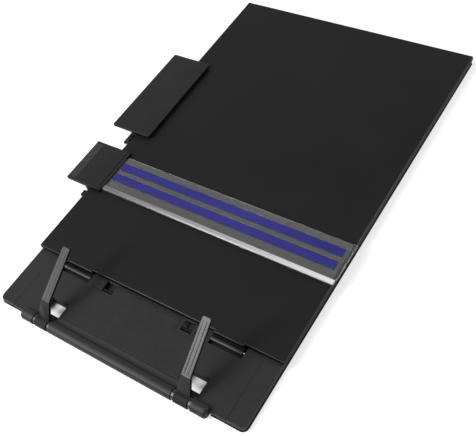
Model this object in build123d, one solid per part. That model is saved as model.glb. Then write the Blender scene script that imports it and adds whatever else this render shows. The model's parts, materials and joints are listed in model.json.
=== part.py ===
from build123d import *
import math
import os

# A folding document holder, lying closed on a desk, in millimetres.
# X runs across the board from its left edge, Y runs up the board from its bottom edge, Z is up from the desk.
# The finished pieces are moved so that the origin is the middle of the footprint, on the desk.

# Driving sizes of the board and the base
board_width = 240.0
board_length = 338.5
board_thick = 4.0
board_corner = 1.0
board_edge_round = 0.6
backing_thick = 1.2
backing_inset = 5.0
backing_gap = 0.2
backing_start = 14.0

foot_proud = 0.6
cover_thick = 1.2
base_thick = 4.0
base_rear_inset = 0.2
base_side_inset = 0.9
base_corner = 4.5
base_rear_corner = 0.8
base_edge_round = 1.0
cover_lip = 0.75
ledge_depth = 53.9
board_gap = 0.3
parting_groove = 0.5

# Clearances
slide_gap = 0.3
run_gap = 0.05
pad_gap = 0.3

# Board hinges and their release latches
hinge_drop = 5.4
hinge_forward = 4.8
hinge_side = 46.5
barrel_length = 27.6
slot_end_gap = 1.5
tab_side = 46.7
tab_length = 26.6
barrel_radius = 2.1
hinge_pin_radius = 0.9
pin_grip = 6.5
pin_seat = 2.0
stub_wall = 0.5
tab_reach = 1.8
web_thick = 1.6
island_side = 27.4
island_length = 60.6
island_depth = 12.2
slot_front = 9.6
slot_back = 2.5
latch_side = 71.0
latch_back_shift = -0.75
latch_length = 10.0
latch_width = 8.7
latch_flange = 0.8
latch_flange_thick = 1.2
latch_rise = 0.8
latch_travel = 8.0
latch_stroke = 7.0
latch_room = 2.2
ridge_count = 3
ridge_pitch = 2.6
ridge_height = 0.6
ridge_thick = 1.0
ridge_inset = 0.8
latch_spring_radius = 1.2
latch_spring_bore = 0.7
latch_spring_seat = 4.0
latch_spring_ahead = 3.2

# Prop leg on the back of the board, and the rack that its foot stands in
leg_reach = 140.0
leg_width = 76.0
leg_thick = 2.4
leg_barrel_radius = 2.0
leg_pin_radius = 0.9
leg_foot_length = 4.0
leg_slot_length = 70.0
leg_slot_width = 6.0
leg_slot_count = 3
lug_width = 4.7
flange_width = 8.0
flange_length = 20.0
rack_width = 12.0
rack_inset = 4.0
notch_angles = (20.0, 30.0, 40.0, 50.0, 60.0)
notch_width = 5.2
notch_depth = 0.9
tilt_limit = 65.0

# Sliding ledge with its front bar
ledge_border = 16.3
ledge_travel = 25.0
tongue_length = 45.0
tongue_skin = 1.2
rail_reach = 2.0
rail_thick = 1.0
rail_length = 23.0
rail_lift = 0.8
bar_radius = 5.0
bar_inset = 13.7
bar_end_round = 2.0
bar_end_gap = 0.5
bar_lift = 5.4
bar_ahead = 0.95
rod_radius = 1.5
cap_thick = 1.5
trough_back = 8.9
trough_width = 8.6
trough_depth = 0.6
trough_inset = 43.7
window_front = 7.9
window_length = 12.0
window_width = 16.4
window_slope = 1.7
window_step = 0.9
grip_arm_gap = 12.4
grip_back = 40.4
grip_front = 9.4
grip_neck_gap = 2.0
grip_neck_end = 1.5
grip_recess = 1.0
grip_proud = 0.3
grip_rib_pitch = 1.3
grip_rib_width = 0.65
grip_rib_height = 0.3
grip_margin = 1.2

# Page arms
arm_inset = 21.6
hub_width = 12.0
hub_play = 2.7
washer_thick = 2.4
washer_radius = 4.2
arm_width = 8.3
arm_thick = 2.2
arm_shank = 19.7
arm_finger = 43.3
arm_tip_round = 1.8
arm_tip_taper = 0.35
arm_bend = 24.0
right_arm_angle = 57.0
left_arm_angle = 53.0
arm_edge_round = 0.5
arm_groove_width = 0.6
arm_groove_depth = 0.15

# Jaws that wrap the left edge of the board
jaw_gap = 0.3
jaw_thick = 2.2
jaw_reach = 11.5
jaw_outer = 8.2
jaw_wall = 3.2
jaw_side_gap = 0.4
lip_reach = 3.0
lip_thick = 1.0
rabbet_width = 14.0
rabbet_start = 6.0
jaw_floor_gap = 0.3

# Paper clip
clip_low = 135.9
clip_length = 102.7
clip_left = 24.6
clip_right = 17.4
clip_plate_lift = 2.2
clip_plate_thick = 2.4
clip_corner = 1.5
clip_tail = 8.8
clip_pin_left = 6.4
clip_pin_drop = 0.5
clip_pin_radius = 1.0
clip_ear_radius = 2.3
clip_ear_width = 6.0
clip_ear_inset = 14.0
clip_lug_radius = 2.1
clip_lug_width = 5.5
clip_spring_radius = 1.9
clip_pad_width = 5.0
clip_pad_thick = 0.8
clip_pad_inset = 1.4

# Line guide and its slider
slider_low = 67.2
slider_length = 46.6
slider_left = 24.6
slider_body = 10.9
slider_right = 13.6
slider_thick = 3.7
slider_overhang_thick = 3.0
slider_corner = 0.8
slider_ridges = 5
slider_ridge_pitch = 1.5
slider_ridge_width = 0.7
slider_ridge_height = 0.4
slider_ridge_margin = 3.0
clamp_tab_width = 6.0
clamp_tab_drop = 7.0
clamp_tab_reach = 6.3
slider_ear_width = 6.3
slider_ear_drop = 0.7
slider_screw_radius = 0.8
slider_screw_head = 1.4
slider_screw_inset = 9.0
slider_screw_bite = 4.0
leaf_inset = 2.5
leaf_width = 6.0
leaf_length = 29.0
leaf_thick = 0.3
leaf_rise = 0.5
leaf_gap = 0.5
leaf_seat_depth = 0.6
guide_low = 70.1
guide_width = 39.4
guide_start = 14.5
guide_overhang = 1.2
guide_gap = 0.4
guide_thick = 1.5
guide_knuckle_radius = 1.5
guide_knuckle_left = 2.6
guide_pin_radius = 0.7
stripe_width = 7.5
stripe_offsets = (16.6, 29.1)
stripe_depth = 0.3
stripe_start = 0.6
stripe_stop = 6.2
lens_width = 4.9
lens_height = 1.2
end_cap_length = 2.6
end_cap_wall = 0.5

# Fasteners and feet
screw_radius = 1.4
screw_head_radius = 2.6
screw_head_thick = 1.0
screw_head_sink = 0.1
screw_slot_length = 3.4
screw_slot_width = 0.7
screw_slot_depth = 0.4
cover_screw_bite = 2.2
cover_screw_tip_gap = 0.2
cover_screw_inset = 24.0
cover_screw_first = 50.0
cover_screw_last = 48.0
cover_screw_rows = 3
front_screw_gap = 8.0
front_screw_back = 9.9
bracket_screw_bite = 1.5
bracket_screw_tip_gap = 0.1
bracket_screw_step = 6.0
foot_radius = 8.0
foot_sink = 0.6
foot_inset = 18.0
foot_side_inset = 24.0
foot_front_y = -25.0
middle_foot_y = -20.0

# Levels and places worked out from the sizes above
cover_low = foot_proud
base_low = cover_low + cover_thick
base_top = base_low + base_thick
board_low = base_top + board_gap
board_top = board_low + board_thick
backing_top = board_low + backing_thick
middle = board_width / 2
base_x = (base_side_inset, board_width - base_side_inset)
base_front = -ledge_depth
cover_front = base_front - cover_lip
cover_x = (base_x[0] - cover_lip, base_x[1] + cover_lip)
base_rear = board_length - base_rear_inset
hinge_y = -hinge_forward
hinge_offset = middle - hinge_side
tab_offset = middle - tab_side
latch_offset = middle - latch_side
island_outer = middle - island_side
island_inner = island_outer - island_length
hinge_z = board_top - hinge_drop
leg_y = hinge_y + leg_reach
foot_y = hinge_y + 2 * leg_reach
bar_y = base_front - bar_ahead
bar_z = bar_lift
tray_low = base_low + slide_gap
screw_end = base_low + cover_screw_bite
tray_side = middle - ledge_border
channel_side = tray_side + slide_gap
bar_length = 2 * (tray_side - bar_inset)
trough_length = 2 * (tray_side - trough_inset)
arm_offset = bar_length / 2 - arm_inset
grip_width = 2 * (arm_offset - grip_arm_gap)
grip_neck_width = 2 * (island_inner - grip_neck_gap)
hub_half = hub_width / 2
gap_half = hub_half + hub_play
jaw_top = board_low - jaw_gap
jaw_low = jaw_top - jaw_thick
wall_right = -jaw_side_gap
wall_left = wall_right - jaw_wall
clip_high = clip_low + clip_length
clip_plate_low = board_top + clip_plate_lift
clip_pin_z = board_top - clip_pin_drop
slider_high = slider_low + slider_length
slider_top = board_top + jaw_gap + slider_thick
guide_z = board_top + guide_gap
guide_end = board_width + guide_overhang
stripe_end = guide_end - stripe_stop
guide_pin_x = guide_start - guide_knuckle_left
guide_pin_z = guide_z + guide_thick


def block(x, y, z):
    """Box between two corners, each pair given low to high."""
    size = Box(x[1] - x[0], y[1] - y[0], z[1] - z[0])
    return Pos((x[0] + x[1]) / 2, (y[0] + y[1]) / 2, (z[0] + z[1]) / 2) * size


def rounded_plate(x, y, z, radius):
    """Flat plate with round corners in plan."""
    outline = RectangleRounded(x[1] - x[0], y[1] - y[0], radius)
    plate = extrude(outline, z[1] - z[0])
    return Pos((x[0] + x[1]) / 2, (y[0] + y[1]) / 2, z[0]) * plate


def rod_x(x, y, z, radius):
    """Round rod along X."""
    return Pos((x[0] + x[1]) / 2, y, z) * Rot(0, 90, 0) * Cylinder(radius, x[1] - x[0])


def rod_y(x, y, z, radius):
    """Round rod along Y."""
    return Pos(x, (y[0] + y[1]) / 2, z) * Rot(90, 0, 0) * Cylinder(radius, y[1] - y[0])


def rod_z(x, y, z, radius):
    """Round rod along Z."""
    return Pos(x, y, (z[0] + z[1]) / 2) * Cylinder(radius, z[1] - z[0])


def span(centre, width):
    """Low and high ends of a width about its centre."""
    return (centre - width / 2, centre + width / 2)


def side_span(side, near, far):
    """Span between two distances from the board's middle line, on the left (-1) or right (+1)."""
    ends = (middle + side * near, middle + side * far)
    return (min(ends), max(ends))


def beam(start, angle, length, thick, x):
    """Flat beam that leaves a point of the YZ plane at an angle from +Y, as wide as the X span."""
    body = Box(x[1] - x[0], length, thick)
    return Pos((x[0] + x[1]) / 2, *start) * Rot(angle, 0, 0) * Pos(0, length / 2, 0) * body


def along(start, angle, length):
    """Point at a distance from a point of the YZ plane, at an angle from +Y."""
    turn = math.radians(angle)
    return (start[0] + length * math.cos(turn), start[1] + length * math.sin(turn))


sides = (-1, 1)
barrel_spans = {side: span(middle + side * hinge_offset, barrel_length) for side in sides}
tab_spans = {side: span(middle + side * tab_offset, tab_length) for side in sides}
hub_spans = {side: span(middle + side * arm_offset, hub_width) for side in sides}
rail_y = (-1 - rail_length, -1)
window_spans = {side: span(middle + side * arm_offset, window_width) for side in sides}
window_y = (base_front + window_front, base_front + window_front + window_length)
cover_window_y = (window_y[0] + window_step, window_y[1] - window_step)
leg_x = span(middle, leg_width)
pocket_x = (leg_x[0] - lug_width - 2 * slide_gap, leg_x[1] + lug_width + 2 * slide_gap)
rack_start = hinge_y + 2 * leg_reach * math.cos(math.radians(tilt_limit)) - notch_width
rack_end = foot_y - leg_foot_length
pocket_y = (rack_start - 1.0, foot_y + leg_thick / 2 + 3 * slide_gap)


def latch_span(side):
    """X span of the latch button at rest."""
    return span(middle + side * latch_offset, latch_length)


def latch_well(side):
    """X span of the well that the latch slides in."""
    near = latch_offset - latch_length / 2 - latch_travel - latch_room
    far = latch_offset + latch_length / 2 + slide_gap
    return side_span(side, near, far)


def latch_y(extra=0.0):
    """Y span of the latch, grown by a clearance on both sides."""
    return span(hinge_y + latch_back_shift, latch_width + 2 * extra)


# Base: moulded frame, bottom cover, feet, screws and hinge stubs
def base_plate(x, y, z, corner):
    """Plate in the base's outline, with large round corners in front and small ones behind."""
    plate = block(x, y, z)
    plate = fillet(plate.edges().filter_by(Axis.Z).group_by(Axis.Y)[0], corner)
    return fillet(plate.edges().filter_by(Axis.Z).group_by(Axis.Y)[-1], base_rear_corner)


def make_base_frame():
    frame = base_plate(base_x, (base_front, base_rear), (base_low, base_top), base_corner)
    frame = fillet(frame.faces().sort_by(Axis.Z)[-1].edges(), base_edge_round)
    channel_x = side_span(1, -channel_side, channel_side)
    frame -= block(channel_x, (base_front - 1, 0), (base_low - 1, base_top + 1))
    for side in sides:
        island_x = side_span(side, island_inner, island_outer)
        frame += block(island_x, (-island_depth, 0), (base_low, base_top))
        frame -= hinge_slot(side)
        frame -= latch_space(side)
        frame -= rail_groove(side)
    tongue_x = side_span(1, -island_inner, island_inner)
    tongue_top = base_top - tongue_skin
    frame -= block(tongue_x, (-1, tongue_length + slide_gap), (base_low - 1, tongue_top))
    frame -= block(pocket_x, pocket_y, (base_low - 1, base_top + 1))
    frame -= block((-1, rabbet_width), (rabbet_start, base_rear + 1), (jaw_low - jaw_floor_gap, base_top + 1))
    for x, y in cover_screw_places():
        frame -= rod_z(x, y, (base_low, screw_end + cover_screw_tip_gap), screw_radius)
    return frame


def hinge_slot(side):
    """Through slot for the board's barrel, with the bores for its two stub pins."""
    half = barrel_length / 2
    slot_x = side_span(side, hinge_offset - half - slide_gap, hinge_offset + half + slot_end_gap)
    slot = block(slot_x, (-slot_front, slot_back), (base_low - 1, base_top + 1))
    outer = rod_x(outer_pin_span(side), hinge_y, hinge_z, hinge_pin_radius)
    inner = rod_x(inner_pin_span(side), hinge_y, hinge_z, hinge_pin_radius + run_gap)
    return slot + outer + inner


def outer_pin_span(side):
    """Fixed stub pin, from the island's outer wall into the barrel."""
    barrel_end = hinge_offset + barrel_length / 2
    return side_span(side, barrel_end - pin_grip, island_outer - stub_wall)


def inner_pin_span(side):
    """Retracting pin, from the barrel into the latch."""
    barrel_end = hinge_offset - barrel_length / 2
    return side_span(side, barrel_end + pin_grip, latch_offset - latch_length / 2 + pin_seat)


def latch_space(side):
    """Well for the latch button, wider below so that the latch can't lift out."""
    well_x = latch_well(side)
    well = block(well_x, latch_y(slide_gap), (base_low - 1, base_top + 1))
    flange_top = tray_low + latch_flange_thick + slide_gap
    well += block(well_x, latch_y(slide_gap + latch_flange), (base_low - 1, flange_top))
    return well


def rail_groove(side):
    """Closed groove in the side border that the ledge's rail runs in."""
    groove_x = side_span(side, channel_side - 1, channel_side + rail_reach)
    groove_y = (rail_y[0] - ledge_travel - slide_gap, rail_y[1] + slide_gap)
    low = tray_low + rail_lift - slide_gap
    return block(groove_x, groove_y, (low, low + rail_thick + 2 * slide_gap))


def cover_screw_places():
    """Screw places around the bottom cover."""
    pitch = (base_rear - cover_screw_last - cover_screw_first) / (cover_screw_rows - 1)
    rows = [cover_screw_first + row * pitch for row in range(cover_screw_rows)]
    places = [(x, y) for x in (cover_screw_inset, board_width - cover_screw_inset) for y in rows]
    front = channel_side + front_screw_gap
    return places + [(middle + side * front, base_front + front_screw_back) for side in sides]


def foot_places():
    """Foot places, kept behind the sliding ledge."""
    rows = (foot_front_y, base_rear - foot_inset)
    places = [(x, y) for x in (foot_side_inset, board_width - foot_side_inset) for y in rows]
    return places + [(middle, base_rear - foot_inset), (middle, middle_foot_y)]


def make_bottom_cover():
    cover = base_plate(cover_x, (cover_front, base_rear), (cover_low, base_low), base_corner + cover_lip)
    bottom_edges = cover.faces().sort_by(Axis.Z)[0].edges()
    cover = chamfer(bottom_edges, parting_groove)
    bar_x = span(middle, bar_length + 2 * bar_end_gap)
    bar_back = bar_y + bar_radius + 2 * slide_gap
    cover -= block(bar_x, (cover_front - 1, bar_back), (cover_low - 1, base_low + 1))
    for side in sides:
        cover -= block(window_spans[side], cover_window_y, (cover_low - 1, base_low + 1))
    for x, y in foot_places():
        cover -= rod_z(x, y, (cover_low - 1, cover_low + foot_sink), foot_radius)
    for x, y in cover_screw_places():
        cover -= rod_z(x, y, (cover_low - 1, base_low + 1), screw_radius)
        cover -= rod_z(x, y, (cover_low - 1, cover_low + screw_head_thick), screw_head_radius)
    return cover


def make_cover_screws():
    screws = []
    for x, y in cover_screw_places():
        head_low = cover_low + screw_head_sink
        shank = rod_z(x, y, (head_low, screw_end), screw_radius)
        head = rod_z(x, y, (head_low, cover_low + screw_head_thick), screw_head_radius)
        slot_z = (cover_low, head_low + screw_slot_depth)
        slot = block(span(x, screw_slot_length), span(y, screw_slot_width), slot_z)
        screws.append(shank + head - slot)
    return screws


def make_rubber_feet():
    feet = []
    for x, y in foot_places():
        pad = rod_z(x, y, (0, cover_low + foot_sink), foot_radius)
        feet.append(chamfer(pad.edges().sort_by(Axis.Z)[0], 0.4))
    return feet


def make_hinge_stubs():
    return [rod_x(outer_pin_span(side), hinge_y, hinge_z, hinge_pin_radius) for side in sides]


def make_leg_racks():
    """Two notched strips in the base, under the path of the leg's foot."""
    top = hinge_z - leg_thick / 2 - slide_gap
    strips = []
    for start in (leg_x[0] + rack_inset, leg_x[1] - rack_inset - rack_width):
        x = (start, start + rack_width)
        strip = block(x, (rack_start, rack_end), (base_low, top))
        for angle in notch_angles:
            y = hinge_y + 2 * leg_reach * math.cos(math.radians(angle))
            strip -= block((x[0] - 1, x[1] + 1), span(y, notch_width), (top - notch_depth, top + 1))
        strips.append(strip)
    return strips


# Release latches
def make_latch(side):
    x = latch_span(side)
    body = block(x, latch_y(), (tray_low, base_top + latch_rise))
    body += block(x, latch_y(latch_flange), (tray_low, tray_low + latch_flange_thick))
    for index in range(ridge_count):
        centre = sum(x) / 2 + (index - (ridge_count - 1) / 2) * ridge_pitch
        ridge_z = (base_top + latch_rise - 0.2, base_top + latch_rise + ridge_height)
        body += block(span(centre, ridge_thick), latch_y(-ridge_inset), ridge_z)
    body -= rod_x(inner_pin_span(side), hinge_y, hinge_z, hinge_pin_radius)
    body -= rod_x(latch_spring_span(side), *latch_spring_place(), latch_spring_radius + 0.1)
    return body


def make_latch_pin(side):
    return rod_x(inner_pin_span(side), hinge_y, hinge_z, hinge_pin_radius)


def latch_spring_span(side):
    """Coil from its seat in the latch to the end wall of the well."""
    seat = latch_offset - latch_length / 2 + latch_spring_seat
    end = latch_offset - latch_length / 2 - latch_travel - latch_room + 0.1
    return side_span(side, end, seat)


def latch_spring_place():
    """Centre line of the latch's coil in Y and Z, beside the pin."""
    return (hinge_y - latch_spring_ahead, hinge_z - 0.4)


def make_latch_spring(side):
    y, z = latch_spring_place()
    coil = rod_x(latch_spring_span(side), y, z, latch_spring_radius)
    return coil - rod_x(latch_spring_span(side), y, z, latch_spring_bore)


# Document board with its backing and the prop leg
def make_document_board():
    board = rounded_plate((0, board_width), (0, board_length), (board_low, board_top), board_corner)
    for side in sides:
        board += block(tab_spans[side], (-tab_reach, 1), (board_low, board_top))
    board = chamfer(board.faces().sort_by(Axis.Z)[-1].edges(), board_edge_round)
    board -= backing_space(0.0)
    for side in sides:
        board += board_barrel(side)
        board -= rod_x(outer_pin_span(side), hinge_y, hinge_z, hinge_pin_radius + run_gap)
        board -= rod_x(inner_pin_span(side), hinge_y, hinge_z, hinge_pin_radius + run_gap)
    for x, y in bracket_screw_places():
        hole_top = backing_top + bracket_screw_bite + bracket_screw_tip_gap
        board -= rod_z(x, y, (backing_top, hole_top), screw_radius)
    return board


def board_barrel(side):
    """Hinge barrel below the board's front edge, on a web that hangs from the tab."""
    x = barrel_spans[side]
    barrel = rod_x(x, hinge_y, hinge_z, barrel_radius)
    web = block(x, (hinge_y, slot_back - 1.5), (hinge_z - web_thick / 2, hinge_z + web_thick / 2))
    neck = block(tab_spans[side], (-tab_reach + 0.6, slot_back - 1.5), (hinge_z, board_low + 0.5))
    return barrel + web + neck


def backing_space(gap):
    """Recess in the back of the board, or the plate that fills it when a gap is given."""
    x = (backing_inset + gap, board_width - backing_inset - gap)
    y = (backing_start + gap, board_length - backing_inset - gap)
    return block(x, y, (board_low - (1 if gap == 0 else 0), backing_top))


def make_board_backing():
    plate = backing_space(backing_gap)
    for side in sides:
        x, y = bracket_flange(side)
        plate -= block((x[0] - backing_gap, x[1] + backing_gap), (y[0] - backing_gap, y[1] + backing_gap),
                       (board_low - 1, board_top))
    relief_y = span(leg_y, 2 * leg_barrel_radius + 2.0)
    plate -= block(leg_x, relief_y, (board_low - 1, board_top))
    return plate


def bracket_flange(side):
    """X and Y spans of a leg bracket's flange on the back of the board."""
    near = leg_width / 2 + slide_gap
    return side_span(side, near, near + lug_width + flange_width), span(leg_y, flange_length)


def bracket_screw_places():
    """Two screws in each leg bracket."""
    x = leg_width / 2 + slide_gap + lug_width + flange_width / 2
    steps = (-bracket_screw_step, bracket_screw_step)
    return [(middle + side * x, leg_y + step) for side in sides for step in steps]


def make_leg_brackets():
    brackets = []
    for side in sides:
        x, y = bracket_flange(side)
        bracket = block(x, y, (board_low, backing_top))
        lug_x = side_span(side, leg_width / 2 + slide_gap, leg_width / 2 + slide_gap + lug_width)
        bracket += block(lug_x, span(leg_y, 2 * leg_barrel_radius), (hinge_z, backing_top))
        bracket += rod_x(lug_x, leg_y, hinge_z, leg_barrel_radius)
        bracket -= rod_x(leg_pin_span(), leg_y, hinge_z, leg_pin_radius)
        for place_x, place_y in bracket_screw_places():
            bracket -= rod_z(place_x, place_y, (board_low - 1, backing_top + 1), screw_radius)
        brackets.append(bracket)
    return brackets


def make_bracket_screws():
    screws = []
    for x, y in bracket_screw_places():
        ends = (board_low + screw_head_sink, backing_top + bracket_screw_bite)
        screws.append(rod_z(x, y, ends, screw_radius))
    return screws


def leg_pin_span():
    """The pin passes through both brackets and the leg."""
    half = leg_width / 2 + slide_gap + lug_width
    return span(middle, 2 * half)


def make_leg_pin():
    return rod_x(leg_pin_span(), leg_y, hinge_z, leg_pin_radius)


def make_prop_leg():
    plate_y = (leg_y, foot_y - leg_foot_length)
    leg = block(leg_x, plate_y, span(hinge_z, leg_thick))
    leg += rod_x(leg_x, leg_y, hinge_z, leg_barrel_radius)
    leg -= rod_x((leg_x[0] - 1, leg_x[1] + 1), leg_y, hinge_z, leg_pin_radius + run_gap)
    pitch = leg_width / leg_slot_count
    for index in range(leg_slot_count):
        x = leg_x[0] + (index + 0.5) * pitch
        slot_y = span(leg_y + leg_reach / 2, leg_slot_length)
        slot_z = (hinge_z - leg_thick, hinge_z + leg_thick)
        slot = rounded_plate(span(x, leg_slot_width), slot_y, slot_z, leg_slot_width / 2 - 0.01)
        leg -= slot
    return leg


def make_leg_foot():
    """Rubber strip along the end of the leg, with a round nose."""
    foot = block(leg_x, (foot_y - leg_foot_length, foot_y), span(hinge_z, leg_thick))
    return foot + rod_x(leg_x, foot_y, hinge_z, leg_thick / 2)


# Sliding ledge
def bar_segments():
    """X spans of the front bar, between its ends and the two arm hubs."""
    ends = span(middle, bar_length)
    cuts = [ends[0]]
    for side in sides:
        centre = middle + side * arm_offset
        cuts += [centre - gap_half, centre + gap_half]
    cuts.append(ends[1])
    return [(cuts[index], cuts[index + 1]) for index in range(0, len(cuts), 2)]


def make_bar_segment(segment):
    """Piece of the round bar; the bar's two outer ends have round edges."""
    piece = rod_x(segment, bar_y, bar_z, bar_radius)
    ends = span(middle, bar_length)
    if segment[0] == ends[0]:
        piece = fillet(piece.edges().filter_by(GeomType.CIRCLE).sort_by(Axis.X)[0], bar_end_round)
    if segment[1] == ends[1]:
        piece = fillet(piece.edges().filter_by(GeomType.CIRCLE).sort_by(Axis.X)[-1], bar_end_round)
    return piece


def make_ledge_tray():
    tray_x = side_span(1, -tray_side, tray_side)
    tray_z = (tray_low, base_top)
    tray = block(tray_x, (base_front, -slide_gap), tray_z)
    tongue_x = side_span(1, -island_inner + slide_gap, island_inner - slide_gap)
    tongue_z = (tray_low, base_top - tongue_skin - slide_gap)
    tray += block(tongue_x, (-1, tongue_length), tongue_z)
    for side in sides:
        island_x = side_span(side, island_inner - slide_gap, island_outer + slide_gap)
        tray -= block(island_x, (-island_depth - slide_gap, 1), (tray_low - 1, base_top + 1))
        tray -= window_space(side)
        rail_x = side_span(side, tray_side - 1, channel_side + rail_reach - slide_gap)
        low = tray_low + rail_lift
        tray += block(rail_x, rail_y, (low, low + rail_thick))
    tray -= trough()
    for segment in bar_segments():
        tray += make_bar_segment(segment)
    for side in sides:
        gap_x = span(middle + side * arm_offset, 2 * gap_half)
        cut_y = (bar_y - bar_radius - 1, bar_y + bar_radius + slide_gap)
        tray -= block(gap_x, cut_y, (0, bar_z + bar_radius + 1))
    tray -= rod_x(rod_span(), bar_y, bar_z, rod_radius)
    for side in sides:
        tray -= rod_x(cap_span(side), bar_y, bar_z, rod_radius + 0.6)
    tray -= grip_space(base_top - grip_recess, base_top + 1)
    return tray


def window_space(side):
    """See-through window behind an arm, with a sloped rear lip."""
    front, back = window_y
    lip = back + window_slope
    corners = [(front, tray_low - 1), (back, tray_low - 1), (back, base_top - window_slope)]
    corners += [(lip, base_top), (lip, base_top + 1), (front, base_top + 1)]
    shape = extrude(Plane.YZ * Polygon(*corners, align=None), window_width)
    return Pos(window_spans[side][0], 0, 0) * shape


def rod_span():
    """The arm rod reaches the inner faces of the two end caps."""
    return span(middle, bar_length - 2 * cap_thick)


def cap_span(side):
    """X span of the plug in one end of the bar."""
    return side_span(side, bar_length / 2 - cap_thick, bar_length / 2)


def trough():
    """Shallow round hollow between the bar and the grip plate."""
    half = trough_width / 2
    radius = (half ** 2 + trough_depth ** 2) / (2 * trough_depth)
    y = base_front + trough_back - half
    z = base_top - trough_depth + radius
    straight = span(middle, trough_length - trough_width)
    hollow = rod_x(straight, y, z, radius)
    for x in straight:
        hollow += Pos(x, y, z) * Sphere(radius)
    return hollow


def grip_space(low, high):
    """Plan shape of the ribbed grip plate: a wide field and a neck between the latches."""
    back = base_front + grip_back
    front = base_front + grip_front
    field = block(span(middle, grip_width), (front, back), (low, high))
    return field + block(span(middle, grip_neck_width), (back - 1, -grip_neck_end), (low, high))


def make_grip_plate():
    low = base_top - grip_recess
    high = base_top + grip_proud
    plate = grip_space(low, high)
    back = base_front + grip_back
    y = base_front + grip_front + grip_margin
    while y < -grip_neck_end - grip_margin:
        width = grip_width if y < back - grip_margin else grip_neck_width
        rib = block(span(middle, width - 2 * grip_margin), span(y, grip_rib_width),
                    (high - 0.2, high + grip_rib_height))
        plate += rib
        y += grip_rib_pitch
    return plate


def make_arm_rod():
    return rod_x(rod_span(), bar_y, bar_z, rod_radius)


def make_bar_caps():
    return [rod_x(cap_span(side), bar_y, bar_z, rod_radius + 0.6) for side in sides]


def make_arm_washers():
    washers = []
    for side in sides:
        for end in sides:
            face = middle + side * arm_offset + end * (hub_half + hub_play - washer_thick)
            x = (min(face, face + end * washer_thick), max(face, face + end * washer_thick))
            washers.append(rod_x(x, bar_y, bar_z, washer_radius) - rod_x(x, bar_y, bar_z, rod_radius))
    return washers


# Page arms
def make_arm(side, angle):
    """Arm with its hub on the rod, a shank that narrows, a bend, and a finger over the pages."""
    hub_x = hub_spans[side]
    centre = sum(hub_x) / 2
    axis = (bar_y, bar_z)
    shank = beam(axis, angle, arm_shank, arm_thick, hub_x)
    for end in sides:
        taper = math.degrees(math.atan2((hub_width - arm_width) / 2, arm_shank - bar_radius))
        wedge = Box(hub_width, 2 * arm_shank, 4 * arm_thick)
        wedge = Rot(0, 0, end * taper) * Pos(end * hub_width / 2, arm_shank, 0) * wedge
        place = Pos(centre, *axis) * Rot(angle, 0, 0) * Pos(end * hub_half, bar_radius, 0)
        shank -= place * wedge
    knee = along(axis, angle, arm_shank)
    finger_x = span(centre, arm_width)
    finger = make_finger(knee, angle - arm_bend, centre)
    arm = rod_x(hub_x, *axis, bar_radius) + shank + rod_x(finger_x, *knee, arm_thick / 2) + finger
    for end in sides:
        groove_x = span(centre + end * arm_width / 5, arm_groove_width)
        groove = beam(knee, angle - arm_bend, arm_finger - 4, 2 * arm_groove_depth, groove_x)
        lift = along((0, 0), angle - arm_bend + 90, arm_thick / 2)
        inset = along((0, 0), angle - arm_bend, 2)
        arm -= Pos(0, lift[0] + inset[0], lift[1] + inset[1]) * groove
    arm -= rod_x((hub_x[0] - 1, hub_x[1] + 1), *axis, rod_radius + run_gap)
    return arm


def make_finger(knee, angle, centre):
    """Flat finger that narrows a little towards its round-cornered tip."""
    half = arm_width / 2
    length = arm_finger + arm_thick / 2
    tip = half - arm_tip_taper
    outline = Polygon((-half, 0), (half, 0), (tip, length), (-tip, length), align=None)
    outline = fillet(outline.vertices().group_by(Axis.Y)[-1], arm_tip_round)
    bar = Pos(0, 0, -arm_thick / 2) * extrude(outline, arm_thick)
    bar = fillet(bar.faces().sort_by(Axis.Y)[-1].edges(), arm_edge_round)
    return Pos(centre, *knee) * Rot(angle, 0, 0) * bar


# Jaw around the left edge of the board, shared by the clip and the line guide
def edge_jaw(y, outer):
    """Lower jaw and side wall, with the gap to the board's edge on three sides."""
    jaw = block((-outer, jaw_reach), y, (jaw_low, jaw_top))
    return jaw + block((wall_left, wall_right), y, (jaw_low, board_top + jaw_gap))


# Paper clip
def make_clip_carrier():
    low = clip_low - clip_tail
    carrier = edge_jaw((low, clip_high - 2), jaw_outer)
    lip_z = (board_top + jaw_gap, board_top + jaw_gap + lip_thick)
    carrier += block((wall_left, lip_reach), (clip_low, clip_high - 2), lip_z)
    for y in clip_lug_spans():
        carrier += rod_y(-clip_pin_left, y, clip_pin_z, clip_lug_radius)
        carrier += block((-clip_pin_left, wall_left + 1), y, span(clip_pin_z, 2 * clip_lug_radius))
        carrier -= rod_y(-clip_pin_left, y, clip_pin_z, clip_pin_radius)
    return carrier


def clip_ear_spans():
    """Y spans of the lever's two ears."""
    near = clip_low + clip_ear_inset
    far = clip_high - clip_ear_inset
    return [(near, near + clip_ear_width), (far - clip_ear_width, far)]


def clip_lug_spans():
    """Y spans of the carrier's lugs, just inside the lever's ears."""
    ears = clip_ear_spans()
    near = ears[0][1] + slide_gap
    far = ears[1][0] - slide_gap
    return [(near, near + clip_lug_width), (far - clip_lug_width, far)]


def make_clip_lever():
    plate_z = (clip_plate_low, clip_plate_low + clip_plate_thick)
    plate = rounded_plate((-clip_left, clip_right), (clip_low, clip_high), plate_z, clip_corner)
    plate = fillet(plate.faces().sort_by(Axis.Z)[-1].edges(), 0.8)
    pad_x = clip_pad_span()
    pad_top = board_top + pad_gap + clip_pad_thick
    plate += block(pad_x, (clip_low + 3, clip_high - 3), (pad_top, clip_plate_low + 0.5))
    for y in clip_ear_spans():
        plate += rod_y(-clip_pin_left, y, clip_pin_z, clip_ear_radius)
        plate += block(span(-clip_pin_left, 2 * clip_ear_radius), y, (clip_pin_z, clip_plate_low + 0.5))
        plate -= rod_y(-clip_pin_left, (y[0] - 1, y[1] + 1), clip_pin_z, clip_pin_radius + run_gap)
    return plate


def clip_pad_span():
    """X span of the gripping edge, set back from the plate's right side."""
    return (clip_right - clip_pad_inset - clip_pad_width, clip_right - clip_pad_inset)


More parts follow.
